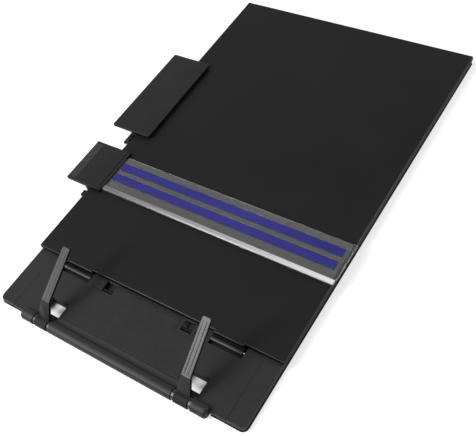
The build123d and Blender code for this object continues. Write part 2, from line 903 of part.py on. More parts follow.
def make_clip_pad():
    return block(clip_pad_span(), (clip_low + 3, clip_high - 3),
                 (board_top + pad_gap, board_top + pad_gap + clip_pad_thick))


def make_clip_pin():
    ears = clip_ear_spans()
    return rod_y(-clip_pin_left, (ears[0][0] - 0.4, ears[1][1] + 0.4), clip_pin_z, clip_pin_radius)


def make_clip_spring():
    lugs = clip_lug_spans()
    y = (lugs[0][1] + slide_gap, lugs[1][0] - slide_gap)
    coil = rod_y(-clip_pin_left, y, clip_pin_z, clip_spring_radius)
    return coil - rod_y(-clip_pin_left, y, clip_pin_z, clip_pin_radius)


# Line guide and its slider
def make_slider_block():
    low = board_top + jaw_gap
    overhang_low = slider_top - slider_overhang_thick
    y = (slider_low, slider_high)
    body = rounded_plate((-slider_left, slider_body), y, (overhang_low, slider_top), slider_corner)
    body = fillet(body.faces().sort_by(Axis.Z)[-1].edges(), 0.5)
    body += block((wall_left, slider_body), y, (low, overhang_low + 0.2))
    body += block((wall_left, wall_right), y, (jaw_top, low + 0.2))
    for ear_y in slider_ear_spans():
        body += block((slider_body - 1, slider_right), ear_y, (low, slider_top - slider_ear_drop))
    body -= rod_y(guide_pin_x, (slider_low + 1, slider_high - 1), guide_pin_z, guide_pin_radius)
    clear = guide_knuckle_radius + slide_gap
    knuckle_y = (slider_ear_spans()[0][1], slider_ear_spans()[1][0])
    body -= rod_y(guide_pin_x, knuckle_y, guide_pin_z, clear)
    for index in range(slider_ridges):
        x = -slider_left + 2.0 + index * slider_ridge_pitch
        ridge_y = (slider_low + slider_ridge_margin, slider_high - slider_ridge_margin)
        ridge_z = (slider_top - 0.2, slider_top + slider_ridge_height)
        body += block(span(x, slider_ridge_width), ridge_y, ridge_z)
    for x, y in slider_screw_places():
        body -= rod_z(x, y, (jaw_top - 1, jaw_top + slider_screw_bite + 0.1), slider_screw_radius)
    return body


def slider_ear_spans():
    """Y spans of the slider's two ears, which hold the guide's pin."""
    return [(slider_low, slider_low + slider_ear_width), (slider_high - slider_ear_width, slider_high)]


def slider_screw_places():
    """Two screws up through the clamp into the side wall."""
    x = (wall_left + wall_right) / 2
    return [(x, slider_low + slider_screw_inset), (x, slider_high - slider_screw_inset)]


def make_slider_clamp():
    clamp = block((wall_left, jaw_reach), (slider_low, slider_high), (jaw_low, jaw_top))
    tab_y = (slider_low - clamp_tab_drop, slider_low - clamp_tab_drop + clamp_tab_width)
    clamp += block((wall_left, jaw_reach), (tab_y[0], slider_low + 1), (jaw_low, jaw_top))
    clamp += block((-clamp_tab_reach, wall_left + 1), tab_y, (jaw_low, jaw_top))
    clamp -= slider_spring_seat()
    for x, y in slider_screw_places():
        clamp -= rod_z(x, y, (jaw_low - 1, jaw_top + 1), slider_screw_radius)
        clamp -= rod_z(x, y, (jaw_low - 1, jaw_low + 0.8), slider_screw_head)
    return clamp


def slider_spring_seat():
    """Shallow seat for the leaf spring in the top of the clamp."""
    centre = (slider_low + slider_high) / 2
    x = (leaf_inset - leaf_gap, leaf_inset + leaf_width + leaf_gap)
    return block(x, span(centre, leaf_length + 2 * leaf_gap), (jaw_top - leaf_seat_depth, jaw_top + 1))


def make_slider_spring():
    """Bowed leaf that presses on the underside of the board."""
    centre = (slider_low + slider_high) / 2
    radius = ((leaf_length / 2) ** 2 + leaf_rise ** 2) / (2 * leaf_rise)
    low = jaw_top - leaf_seat_depth
    z = low + leaf_rise + leaf_thick - radius
    x = (leaf_inset, leaf_inset + leaf_width)
    ring = rod_x(x, centre, z, radius) - rod_x(x, centre, z, radius - leaf_thick)
    return ring & block(x, span(centre, leaf_length), (low, board_low - run_gap))


def make_slider_screws():
    screws = []
    for x, y in slider_screw_places():
        shank = rod_z(x, y, (jaw_low + 0.1, jaw_top + slider_screw_bite), slider_screw_radius)
        screws.append(shank + rod_z(x, y, (jaw_low + 0.1, jaw_low + 0.8), slider_screw_head))
    return screws


def make_guide_pin():
    return rod_y(guide_pin_x, (slider_low + 1, slider_high - 1), guide_pin_z, guide_pin_radius)


def make_guide_strip():
    strip_y = (guide_low, guide_low + guide_width)
    strip_z = (guide_z, guide_z + guide_thick)
    strip = block((guide_start, guide_end - end_cap_wall), strip_y, strip_z)
    knuckle_y = (slider_ear_spans()[0][1] + slide_gap, slider_ear_spans()[1][0] - slide_gap)
    strip += rod_y(guide_pin_x, knuckle_y, guide_pin_z, guide_knuckle_radius)
    strip += block((guide_pin_x, guide_start + 1), knuckle_y, strip_z)
    strip -= rod_y(guide_pin_x, (slider_low, slider_high), guide_pin_z, guide_pin_radius + run_gap)
    for stripe in stripe_blocks():
        strip -= stripe
    return strip


def stripe_blocks():
    """Two flush bands along the guide."""
    bands = []
    for offset in stripe_offsets:
        x = (guide_start + stripe_start, stripe_end)
        z = (guide_z + guide_thick - stripe_depth, guide_z + guide_thick)
        bands.append(block(x, span(guide_low + offset, stripe_width), z))
    return bands


def make_guide_lens():
    """Half round magnifier bar along the lower edge of the guide."""
    half = lens_width / 2
    radius = (half ** 2 + lens_height ** 2) / (2 * lens_height)
    x = (guide_start, guide_end - end_cap_wall)
    y = guide_low + half
    base = guide_z + guide_thick
    bar = rod_x(x, y, base + lens_height - radius, radius)
    return bar & block(x, (guide_low, guide_low + lens_width), (base, base + lens_height + 1))


def make_guide_end_cap():
    """Clear cap that wraps the free end of the guide."""
    x = (guide_end - end_cap_length, guide_end)
    y = (guide_low + lens_width, guide_low + guide_width + end_cap_wall / 2)
    z = (guide_z - 0.15, guide_z + guide_thick + end_cap_wall)
    cap = block(x, y, z)
    cap -= block((x[0] - 1, x[1] - end_cap_wall), (guide_low, guide_low + guide_width),
                 (guide_z, guide_z + guide_thick))
    return cap


def make_pieces():
    """Every piece by name."""
    left, right = sides
    return {
        "base_frame": make_base_frame(),
        "bottom_cover": make_bottom_cover(),
        "cover_screws": make_cover_screws(),
        "rubber_feet": make_rubber_feet(),
        "hinge_stubs": make_hinge_stubs(),
        "leg_racks": make_leg_racks(),
        "left_latch": make_latch(left),
        "right_latch": make_latch(right),
        "left_latch_pin": make_latch_pin(left),
        "right_latch_pin": make_latch_pin(right),
        "left_latch_spring": make_latch_spring(left),
        "right_latch_spring": make_latch_spring(right),
        "document_board": make_document_board(),
        "board_backing": make_board_backing(),
        "leg_brackets": make_leg_brackets(),
        "bracket_screws": make_bracket_screws(),
        "leg_pin": make_leg_pin(),
        "prop_leg": make_prop_leg(),
        "leg_foot": make_leg_foot(),
        "ledge_tray": make_ledge_tray(),
        "grip_plate": make_grip_plate(),
        "arm_rod": make_arm_rod(),
        "bar_caps": make_bar_caps(),
        "arm_washers": make_arm_washers(),
        "left_arm": make_arm(left, left_arm_angle),
        "right_arm": make_arm(right, right_arm_angle),
        "clip_carrier": make_clip_carrier(),
        "clip_lever": make_clip_lever(),
        "clip_pad": make_clip_pad(),
        "clip_pin": make_clip_pin(),
        "clip_spring": make_clip_spring(),
        "slider_block": make_slider_block(),
        "slider_clamp": make_slider_clamp(),
        "slider_spring": make_slider_spring(),
        "slider_screws": make_slider_screws(),
        "guide_pin": make_guide_pin(),
        "guide_strip": make_guide_strip(),
        "guide_stripes": stripe_blocks(),
        "guide_lens": make_guide_lens(),
        "guide_end_cap": make_guide_end_cap(),
    }


# Middle of the footprint: the clip and the guide reach past the board, the bar reaches past the base
origin_x = (guide_end - clip_left) / 2
origin_y = (bar_y - bar_radius + board_length) / 2


def write_pieces():
    os.makedirs("parts", exist_ok=True)
    home = Location((-origin_x, -origin_y, 0))
    for name, piece in make_pieces().items():
        solids = list(piece) if isinstance(piece, list) else piece.solids()
        placed = [solid.moved(home) for solid in solids]
        shape = placed[0] if len(placed) == 1 else Compound(children=placed)
        export_step(shape, f"parts/{name}.step")
        print(name, len(placed))


write_pieces()
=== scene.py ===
import bmesh
import bpy
import json
import math
from mathutils import Matrix, Vector
from mathutils.bvhtree import BVHTree

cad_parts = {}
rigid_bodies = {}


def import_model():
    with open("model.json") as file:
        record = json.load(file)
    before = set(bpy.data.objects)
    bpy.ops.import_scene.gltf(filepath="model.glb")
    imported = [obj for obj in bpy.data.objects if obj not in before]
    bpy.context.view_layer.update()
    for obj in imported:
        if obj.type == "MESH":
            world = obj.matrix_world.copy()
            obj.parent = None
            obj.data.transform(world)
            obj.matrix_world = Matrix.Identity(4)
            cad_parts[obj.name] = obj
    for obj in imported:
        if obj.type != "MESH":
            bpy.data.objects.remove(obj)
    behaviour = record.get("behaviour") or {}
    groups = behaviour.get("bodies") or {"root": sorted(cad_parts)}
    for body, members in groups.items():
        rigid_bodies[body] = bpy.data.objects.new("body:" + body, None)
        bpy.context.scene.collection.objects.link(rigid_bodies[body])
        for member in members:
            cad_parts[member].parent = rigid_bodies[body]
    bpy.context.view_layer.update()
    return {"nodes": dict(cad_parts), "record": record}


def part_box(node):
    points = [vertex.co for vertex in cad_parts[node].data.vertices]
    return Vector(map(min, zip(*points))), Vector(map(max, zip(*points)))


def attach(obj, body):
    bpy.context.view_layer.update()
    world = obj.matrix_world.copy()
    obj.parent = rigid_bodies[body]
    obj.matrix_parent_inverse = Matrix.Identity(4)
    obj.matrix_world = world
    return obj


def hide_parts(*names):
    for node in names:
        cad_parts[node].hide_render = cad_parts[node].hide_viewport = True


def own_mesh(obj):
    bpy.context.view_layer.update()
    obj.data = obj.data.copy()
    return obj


# A folding document holder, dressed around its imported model.
# Pieces and patterns are given in millimetres; the camera, the lamps and the desk in metres.

mm = 0.001

for leftover in list(bpy.data.objects):
    bpy.data.objects.remove(leftover)

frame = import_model()
bodyGroups = frame["record"]["behaviour"]["bodies"]
bodyOf = {name: body for body, names in bodyGroups.items() for name in names}


# Camera, at the photograph's place and turn
cameraLook = {
    "place": (0.30845, -0.31413, 0.48802),  # metres
    "turn": (37.672, 10.497, 32.398),  # degrees
    "lens": 57.19,
    "sensor": 36.0,
    "nearest": 0.01,
    "farthest": 20,
}


def makeCamera(look):
    data = bpy.data.cameras.new("camera")
    data.lens = look["lens"]
    data.sensor_width = look["sensor"]
    data.sensor_fit = "HORIZONTAL"
    data.clip_start = look["nearest"]
    data.clip_end = look["farthest"]
    camera = bpy.data.objects.new("camera", data)
    bpy.context.scene.collection.objects.link(camera)
    camera.location = look["place"]
    camera.rotation_euler = [math.radians(angle) for angle in look["turn"]]
    bpy.context.scene.camera = camera


makeCamera(cameraLook)
print("camera placed")


# Materials
def hexColour(text):
    channels = [int(text[index:index + 2], 16) / 255 for index in (1, 3, 5)]
    linear = [c / 12.92 if c <= 0.04045 else ((c + 0.055) / 1.055) ** 2.4 for c in channels]
    return (*linear, 1.0)


# A setting is a socket's value, a property or a ramp's stops; a link from a node takes its first output
def addNode(tree, kind, settings=None, links=None):
    node = tree.nodes.new(kind)
    for key, value in (settings or {}).items():
        if key == "stops":
            elements = node.color_ramp.elements
            while len(elements) < len(value):
                elements.new(0.5)  # anywhere, because its position is set below
            for element, (position, colour) in zip(elements, value):
                element.position = position
                element.color = hexColour(colour)
        elif isinstance(key, int) or key in node.inputs:
            node.inputs[key].default_value = value
        else:
            setattr(node, key, value)
    for key, source in (links or {}).items():
        tree.links.new(source.outputs[0] if hasattr(source, "outputs") else source, node.inputs[key])
    return node


def startMaterial(name):
    material = bpy.data.materials.new(name)
    material.use_nodes = True
    material.node_tree.nodes.clear()
    place = addNode(material.node_tree, "ShaderNodeTexCoord").outputs["Object"]
    return material, material.node_tree, place


# Shared by the materials
noise = {"broad": 3.0, "fine": 2.0, "rough": 0.6, "low": 0.3, "high": 0.7}  # octaves, and its usual spread
wear = {"flat": 0.985, "edge": 0.86}  # how squarely a face points along an axis, on a flat and on an edge
# Painted shade: the wall settings darken upright faces towards the side colour, standing in for the shade in
# gaps under edges
wall = {"start": 0.5, "full": 0.2, "shade": -0.6}  # how far up a face points as its side colour comes in


# Noise settings whose blots are as wide as the real pattern
def blots(width, detail):
    return {"Scale": 1 / (width * mm), "Detail": noise[detail], "Roughness": noise["rough"]}


# Range settings that take a noise's usual spread to two values
def between(low, high):
    return {"From Min": noise["low"], "From Max": noise["high"], "To Min": low, "To Max": high}


# How far a face points along each of the piece's own axes, from 0 to 1
def faceTurn(tree):
    turn = addNode(tree, "ShaderNodeTexCoord").outputs["Normal"]
    size = addNode(tree, "ShaderNodeVectorMath", {"operation": "ABSOLUTE"}, {0: turn})
    return addNode(tree, "ShaderNodeSeparateXYZ", links={"Vector": size}).outputs


# How much a face leans between those axes: rounded edges are rubbed smoother than the flats
def edgeShare(tree, parts):
    first = addNode(tree, "ShaderNodeMath", {"operation": "MAXIMUM"}, {0: parts["X"], 1: parts["Y"]})
    most = addNode(tree, "ShaderNodeMath", {"operation": "MAXIMUM"}, {0: first, 1: parts["Z"]})
    settings = {"From Min": wear["flat"], "From Max": wear["edge"], "To Min": 0.0, "To Max": 1.0}
    return addNode(tree, "ShaderNodeMapRange", settings, {"Value": most})


# Broad clouds and fine grain in the colour, and wear on the edges. Upright faces are painted darker,
# down to the side colour, as painted shade for the gaps under edges. Real grit of 0.1 to 0.3 mm is lost
# in the render, so the grain is drawn three to six times as coarse.
def mouldedPlastic(name, look):
    material, tree, place = startMaterial(name)
    flow = addNode(tree, "ShaderNodeMapping", {"Scale": look.get("stretch", (1, 1, 1))}, {"Vector": place})
    cloud = addNode(tree, "ShaderNodeTexNoise", blots(look["cloud"], "broad"), {"Vector": flow})
    grain = addNode(tree, "ShaderNodeTexNoise", blots(look["grain"], "fine"), {"Vector": place})
    speck = addNode(tree, "ShaderNodeMix", {"Factor": look["speckShare"]}, {"A": cloud, "B": grain})
    parts = faceTurn(tree)
    # Painted shade: upright faces are pushed down the ramp towards the side colour
    shade = {"From Min": wall["start"], "From Max": wall["full"], "To Max": wall["shade"]}
    paintedWallShade = addNode(tree, "ShaderNodeMapRange", shade, {"Value": parts["Z"]})
    tone = addNode(tree, "ShaderNodeMath", {"operation": "ADD"}, {0: speck, 1: paintedWallShade})
    stops = [(0.04, look.get("side", look["dark"])), (0.36, look["dark"]), (0.64, look["light"])]
    colour = addNode(tree, "ShaderNodeValToRGB", {"stops": stops}, {"Fac": tone})
    patches = between(look["roughness"] + look["patchy"], look["roughness"] - look["patchy"])
    flats = addNode(tree, "ShaderNodeMapRange", patches, {"Value": speck})
    worn = edgeShare(tree, parts)
    rough = addNode(tree, "ShaderNodeMix", {"B": look.get("edgeRough", 0.3)}, {"Factor": worn, "A": flats})
    shines = {"To Min": look["specular"], "To Max": look.get("edgeSpecular", 0.5)}
    shine = addNode(tree, "ShaderNodeMapRange", shines, {"Value": worn})
    bump = addNode(tree, "ShaderNodeBump", {"Distance": look["depth"] * mm}, {"Height": grain})
    shader = addNode(tree, "ShaderNodeBsdfPrincipled",
                     links={"Base Color": colour, "Roughness": rough, "Specular IOR Level": shine,
                            "Normal": bump})
    addNode(tree, "ShaderNodeOutputMaterial", links={"Surface": shader})
    return material


# One fine pattern, drawn out along the working lines, in colour, roughness and relief
def steel(name, look):
    material, tree, place = startMaterial(name)
    flow = addNode(tree, "ShaderNodeMapping", {"Scale": look["stretch"]}, {"Vector": place})
    fine = addNode(tree, "ShaderNodeTexNoise", blots(look["grain"], "broad"), {"Vector": flow})
    stops = [(noise["low"], look["dark"]), (noise["high"], look["light"])]
    colour = addNode(tree, "ShaderNodeValToRGB", {"stops": stops}, {"Fac": fine})
    patches = between(look["roughness"] - look["patchy"], look["roughness"] + look["patchy"])
    rough = addNode(tree, "ShaderNodeMapRange", patches, {"Value": fine})
    bump = addNode(tree, "ShaderNodeBump", {"Distance": look["depth"] * mm}, {"Height": fine})
    shader = addNode(tree, "ShaderNodeBsdfPrincipled", {"Metallic": 1.0},
                     {"Base Color": colour, "Roughness": rough, "Normal": bump})
    addNode(tree, "ShaderNodeOutputMaterial", links={"Surface": shader})
    return material


# A tone that runs along X as painted light, paler to the right, and where it's frosted across the piece too,
# as painted shade at the front and painted light at the rear, with a faint haze in it
def acrylic(name, look):
    material, tree, place = startMaterial(name)
    flow = addNode(tree, "ShaderNodeMapping", {"Scale": look["stretch"]}, {"Vector": place})
    haze = addNode(tree, "ShaderNodeTexNoise", blots(look["cloud"], "broad"), {"Vector": flow})
    parts = addNode(tree, "ShaderNodeSeparateXYZ", links={"Vector": place}).outputs
    left, right = look["along"]
    # Painted light: the tone grows paler along X
    reach = {"From Min": left * mm, "From Max": right * mm, "To Min": 0.1, "To Max": 0.9}
    run = addNode(tree, "ShaderNodeMapRange", reach, {"Value": parts["X"]})
    tone = addNode(tree, "ShaderNodeMix", {"Factor": look["hazeShare"]}, {"A": run, "B": haze})
    if "across" in look:
        # Painted shade at the front edge and painted light at the rear edge
        front, back, share = look["across"]
        depth = {"From Min": front * mm, "From Max": back * mm, "To Min": -share, "To Max": share}
        fade = addNode(tree, "ShaderNodeMapRange", depth, {"Value": parts["Y"]})
        tone = addNode(tree, "ShaderNodeMath", {"operation": "ADD"}, {0: tone, 1: fade})
    colour = addNode(tree, "ShaderNodeValToRGB", {"stops": look["stops"]}, {"Fac": tone})
    patches = between(look["roughness"] - look["patchy"], look["roughness"] + look["patchy"])
    rough = addNode(tree, "ShaderNodeMapRange", patches, {"Value": haze})
    shader = addNode(tree, "ShaderNodeBsdfPrincipled", {"IOR": 1.49, "Transmission Weight": look["clear"]},
                     {"Base Color": colour, "Roughness": rough})
    addNode(tree, "ShaderNodeOutputMaterial", links={"Surface": shader})
    return material


# Acrylonitrile butadiene styrene, dyed black and moulded in a spark-eroded tool: a dull, even, faintly
# speckled black. The real grit is about 0.2 mm, drawn at 1.1 mm.
sparkedBlack = mouldedPlastic("black ABS, spark textured", {
    # The side colour is painted shade: the board's upright edges are darkened for the shadow gap under them
    "dark": "#171717", "light": "#1b1b1b", "side": "#060606",
    "cloud": 90, "grain": 1.1, "speckShare": 0.35, "depth": 0.02,
    "roughness": 0.55, "patchy": 0.05, "specular": 0.1, "edgeSpecular": 0.26, "edgeRough": 0.34})

# The same plastic from a smoother tool: satin, a little paler, with soft flow marks across the ledge.
satinBlack = mouldedPlastic("black ABS, satin moulded", {
    "dark": "#262626", "light": "#2d2d2d", "stretch": (0.5, 1, 1),
    "cloud": 45, "grain": 0.9, "speckShare": 0.3, "depth": 0.02,
    "roughness": 0.44, "patchy": 0.05, "specular": 0.14, "edgeSpecular": 0.3, "edgeRough": 0.36})

# The ledge: the same satin, but as dull in its hollow as on its flats.
ledgeBlack = mouldedPlastic("black ABS, satin ledge", {
    "dark": "#252525", "light": "#2c2c2c", "stretch": (0.5, 1, 1),
    "cloud": 45, "grain": 0.9, "speckShare": 0.3, "depth": 0.02,
    "roughness": 0.46, "patchy": 0.05, "specular": 0.14, "edgeSpecular": 0.09, "edgeRough": 0.6})

# The round bar: handled more, so its satin has one soft line of light along it.
barBlack = mouldedPlastic("black ABS, satin bar", {
    "dark": "#242424", "light": "#2b2b2b", "stretch": (0.3, 1, 1),
    "cloud": 40, "grain": 0.9, "speckShare": 0.3, "depth": 0.01,
    "roughness": 0.42, "patchy": 0.05, "specular": 0.19, "edgeSpecular": 0.19, "edgeRough": 0.42})

# Grip plate: the same plastic, rubbed paler on its rib tops.
ribbedBlack = mouldedPlastic("black ABS, ribbed grip", {
    "dark": "#272727", "light": "#2f2f2f",
    "cloud": 30, "grain": 0.8, "speckShare": 0.4, "depth": 0.02,
    "roughness": 0.5, "patchy": 0.06, "specular": 0.12, "edgeSpecular": 0.16, "edgeRough": 0.45})

# Backs and undersides: the same plastic, unpolished, with broad dull patches.
dullBlack = mouldedPlastic("black ABS, dull underside", {
    "dark": "#1a1a1a", "light": "#242424",
    "cloud": 70, "grain": 1.3, "speckShare": 0.4, "depth": 0.03,
    "roughness": 0.68, "patchy": 0.06, "specular": 0.22})

# Clip and slider: fine matt black that catches a soft edge light.
mattBlack = mouldedPlastic("black ABS, matt moulded", {
    # The side colour is painted shade, for the dark gaps under the clip and beside the slider
    "dark": "#1d1d1d", "light": "#242424", "side": "#0a0a0a",
    "cloud": 30, "grain": 0.9, "speckShare": 0.35, "depth": 0.015,
    "roughness": 0.46, "patchy": 0.05, "specular": 0.12, "edgeSpecular": 0.2, "edgeRough": 0.42})

# Fine ridges of the slider: the matt plastic, painted paler on the ridge tops as a highlight, and smoother.
ridgeHighlightBlack = mouldedPlastic("black ABS, ridges with painted highlight", {
    "dark": "#323232", "light": "#3a3a3a",
    "cloud": 20, "grain": 0.9, "speckShare": 0.3, "depth": 0.004,
    "roughness": 0.4, "patchy": 0.04, "specular": 0.3, "edgeSpecular": 0.5, "edgeRough": 0.35})

# Page arms: acetal with a polished face and faint draw lines, so that it mirrors a lamp as a pale sheen.
polishedBlack = mouldedPlastic("black acetal, polished", {
    "dark": "#121212", "light": "#181818", "stretch": (6, 0.6, 0.6),
    "cloud": 9, "grain": 0.7, "speckShare": 0.3, "depth": 0.0015,
    "roughness": 0.27, "patchy": 0.03, "specular": 0.28, "edgeSpecular": 0.28, "edgeRough": 0.3})

# Hubs of the arms: the same acetal as it comes out of the tool, dull and without a sheen.
hubBlack = mouldedPlastic("black acetal, unpolished", {
    "dark": "#202020", "light": "#272727",
    "cloud": 9, "grain": 0.7, "speckShare": 0.3, "depth": 0.005,
    "roughness": 0.5, "patchy": 0.04, "specular": 0.1, "edgeSpecular": 0.1, "edgeRough": 0.55})

# Friction washers: turned black acetal, slick, so that their rims glint.
turnedBlack = mouldedPlastic("black acetal, turned", {
    "dark": "#161616", "light": "#1f1f1f", "stretch": (6, 0.6, 0.6),
    "cloud": 3, "grain": 0.6, "speckShare": 0.4, "depth": 0.005,
    "roughness": 0.2, "patchy": 0.05, "specular": 0.5})

# Rack strips and leg brackets: glass-filled nylon, slightly fibrous and dull.
filledNylon = mouldedPlastic("black glass-filled nylon", {
    "dark": "#1e1e1f", "light": "#2b2b2c", "stretch": (0.3, 1, 1),
    "cloud": 12, "grain": 0.8, "speckShare": 0.5, "depth": 0.03,
    "roughness": 0.55, "patchy": 0.08, "specular": 0.3})

# Feet, clip pad and the leg's foot strip: moulded nitrile rubber, deep dull black with a faint bloom.
rubber = mouldedPlastic("black nitrile rubber", {
    "dark": "#131313", "light": "#1f1e1d",
    "cloud": 8, "grain": 0.9, "speckShare": 0.5, "depth": 0.04,
    "roughness": 0.85, "patchy": 0.06, "specular": 0.2})

# Dyed polyester film laid into the strip: an even deep blue with a low gloss.
blueFilm = mouldedPlastic("blue polyester film", {
    "dark": "#2c2c78", "light": "#343484", "stretch": (0.2, 1, 1),
    "cloud": 14, "grain": 0.8, "speckShare": 0.3, "depth": 0.004,
    "roughness": 0.35, "patchy": 0.05, "specular": 0.15})

# Ground steel pins: cool grey with fine turning lines around the pin.
groundSteel = steel("ground steel", {
    "dark": "#8f9092", "light": "#b4b5b6", "stretch": (8, 1, 1),
    "grain": 1.2, "depth": 0.004,
    "roughness": 0.3, "patchy": 0.07})

# Zinc-plated screws: slightly blue, with a patchy plated sheen.
platedSteel = steel("zinc-plated steel", {
    "dark": "#8d9195", "light": "#c0c3c4", "stretch": (1, 1, 1),
    "grain": 1.0, "depth": 0.008,
    "roughness": 0.36, "patchy": 0.07})

# Music wire, drawn and phosphated: dark grey, with a dull metal sheen.
springWire = steel("phosphated spring wire", {
    "dark": "#2a2b2c", "light": "#3c3d3e", "stretch": (1, 1, 1),
    "grain": 0.8, "depth": 0.003,
    "roughness": 0.28, "patchy": 0.07})

# Cast acrylic strip: clear with a faint grey haze, so that the black board behind it shows as dark grey.
clearAcrylic = acrylic("clear cast acrylic", {
    "stops": [(0.1, "#dcdcd8"), (0.9, "#e4e4e0")], "along": (-98, 132), "stretch": (0.2, 1, 1),
    "cloud": 30, "hazeShare": 0.15, "roughness": 0.08, "patchy": 0.03, "clear": 0.97})

# Magnifier bar: the same acrylic with a frosted foot, with painted light that grows towards its open end,
# painted light along its rear edge and painted shade along its front edge.
frostedAcrylic = acrylic("frosted acrylic", {
    "stops": [(0.1, "#4c4c4c"), (0.24, "#868686"), (0.5, "#9c9c9c"), (0.9, "#ffffff")],
    "along": (-94, 132), "across": (-69.2, -64.3, 0.22), "stretch": (0.2, 1, 1),
    "cloud": 20, "hazeShare": 0.15, "roughness": 0.22, "patchy": 0.03, "clear": 0.08})

print("materials made:", len(bpy.data.materials))


# Moulded pieces: each is its solid with the tool's small edge rounds
rounding = {
    "weld": 0.002,  # corners nearer than this are one
    "flat": 0.6,  # degrees between faces that are one flat
    "sharp": 28,  # degrees at which an edge is a corner
    "seamReach": 0.45,  # how near the neighbour lies at a seam, where corners stay sharp
    "segments": 2,
}


# A node's loose triangles, joined into flats
def mergedShape(node):
    shape = bmesh.new()
    shape.from_mesh(frame["nodes"][node].data)
    bmesh.ops.remove_doubles(shape, verts=shape.verts, dist=rounding["weld"] * mm)
    bmesh.ops.dissolve_limit(shape, angle_limit=math.radians(rounding["flat"]), verts=shape.verts,
                             edges=shape.edges)
    return shape


# The neighbours that a piece meets at its seams
def seamTree(nodes):
    both = bmesh.new()
    for node in nodes:
        both.from_mesh(frame["nodes"][node].data)
    tree = BVHTree.FromBMesh(both)
    both.free()
    return tree


def nearestOnSeam(tree, point):
    return tree.find_nearest(point, rounding["seamReach"] * mm)[0]


# Draws a piece towards its neighbour, for a seam as fine as a tight sliding fit
def closeSeam(shape, tree, share):
    for vert in shape.verts:
        near = nearestOnSeam(tree, vert.co)
        if near is not None:
            vert.co += (near - vert.co) * share


def roundCorners(shape, edges, size):
    bmesh.ops.bevel(shape, geom=edges, offset=size * mm, offset_type="OFFSET", affect="EDGES",
                    segments=rounding["segments"], profile=0.5, clamp_overlap=False, material=-1)


# Faces close around an axis along X, or above a height, get the piece's second material
def markSecond(shape, look):
    axis = Vector((0, *look.get("axis", (0, 0)))) * mm
    for face in shape.faces:
        if "reach" in look:
            chosen = max((vert.co - axis).yz.length for vert in face.verts) < look["reach"] * mm
        else:
            chosen = min(vert.co.z for vert in face.verts) > look["above"] * mm
        if chosen:
            face.material_index = 1


# Makes the shape a piece that rides on a body and stands for its nodes
def addPiece(shape, name, material, body, slot, *nodes):
    mesh = bpy.data.meshes.new(name)
    shape.to_mesh(mesh)
    shape.free()
    mesh.materials.append(material)
    piece = bpy.data.objects.new(name, mesh)
    bpy.context.scene.collection.objects.link(piece)
    even = piece.modifiers.new("even shading", "WEIGHTED_NORMAL")
    even.keep_sharp = True
    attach(piece, body)
    if nodes:
        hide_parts(*nodes)
    return piece


def roundedCopy(node, look):
    shape = mergedShape(node)
    seam = seamTree(look["seams"]) if "seams" in look else None
    if "closer" in look:
        closeSeam(shape, seam, look["closer"])
    corners = []
    for edge in shape.edges:
        if edge.calc_face_angle(0) > math.radians(rounding["sharp"]):
            middlePoint = (edge.verts[0].co + edge.verts[1].co) / 2
            atSeam = seam is not None and nearestOnSeam(seam, middlePoint) is not None
            if edge.calc_length() > look.get("shortest", 0) * mm and not atSeam:
                corners.append(edge)
            else:
                edge.smooth = False
    roundCorners(shape, corners, look["edge"])
    bmesh.ops.translate(shape, verts=shape.verts, vec=Vector(look.get("lift", (0, 0, 0))) * mm)
    for face in shape.faces:
        face.smooth = True
        face.material_index = 0
    if "second" in look:
        markSecond(shape, look["second"])
    piece = addPiece(shape, node + "_moulding", look["material"], bodyOf[node], look["slot"], node)
    if "second" in look:
        piece.data.materials.append(look["second"]["material"])


barRound = {"axis": (-194.175, 5.4), "reach": 5.1}  # the round bar, and the arms' hubs on it
mouldings = {
    "document_board": {"edge": 0.22, "material": sparkedBlack, "slot": "board_black"},
    "board_backing": {"edge": 0.15, "material": dullBlack, "slot": "cover_black"},
    "base_frame": {"edge": 0.25, "material": satinBlack, "slot": "ledge_black",
                   "seams": ["ledge_tray", "bottom_cover", "left_latch", "right_latch"]},
    "bottom_cover": {"edge": 0.2, "material": satinBlack, "slot": "cover_black", "seams": ["base_frame"]},
    "rubber_feet": {"edge": 0.2, "material": rubber, "slot": "rubber"},
    "leg_racks": {"edge": 0.2, "material": filledNylon, "slot": "rack_plastic"},
    "leg_brackets": {"edge": 0.2, "material": filledNylon, "slot": "rack_plastic"},
    "prop_leg": {"edge": 0.25, "material": dullBlack, "slot": "cover_black"},
    "leg_foot": {"edge": 0.2, "material": rubber, "slot": "rubber"},
    "left_latch": {"edge": 0.2, "material": satinBlack, "slot": "ledge_black"},
    "right_latch": {"edge": 0.2, "material": satinBlack, "slot": "ledge_black"},
    "ledge_tray": {"edge": 0.22, "material": ledgeBlack, "slot": "ledge_black",
                   "seams": ["base_frame"], "closer": 0.75, "second": {**barRound, "material": barBlack}},
    "grip_plate": {"edge": 0.1, "material": ribbedBlack, "slot": "grip_black"},
    "bar_caps": {"edge": 0.2, "material": barBlack, "slot": "ledge_black"},
    "arm_washers": {"edge": 0.15, "material": turnedBlack, "slot": "washer_acetal"},
    "left_arm": {"edge": 0.2, "shortest": 3, "material": polishedBlack, "slot": "arm_plastic",
                 "second": {**barRound, "material": hubBlack}},
    "right_arm": {"edge": 0.2, "shortest": 3, "material": polishedBlack, "slot": "arm_plastic",
                  "second": {**barRound, "material": hubBlack}},
    "clip_carrier": {"edge": 0.25, "material": mattBlack, "slot": "clip_black"},
    "clip_lever": {"edge": 0.3, "material": mattBlack, "slot": "clip_black"},
    "clip_pad": {"edge": 0.15, "material": rubber, "slot": "rubber"},
    # The slider's ridge tops take the paler material as a painted highlight
    "slider_block": {"edge": 0.2, "material": mattBlack, "slot": "clip_black",
                     "second": {"above": 14.2, "material": ridgeHighlightBlack}},
    "slider_clamp": {"edge": 0.25, "material": mattBlack, "slot": "clip_black"},
    "guide_strip": {"edge": 0.12, "material": clearAcrylic, "slot": "clear_acrylic"},
    "guide_end_cap": {"edge": 0.1, "material": clearAcrylic, "slot": "clear_acrylic"},
    "guide_lens": {"edge": 0.25, "lift": (0, 0, 0.02), "material": frostedAcrylic, "slot": "clear_acrylic"},
}
for node, look in mouldings.items():
    roundedCopy(node, look)
print("mouldings rounded:", len(mouldings))


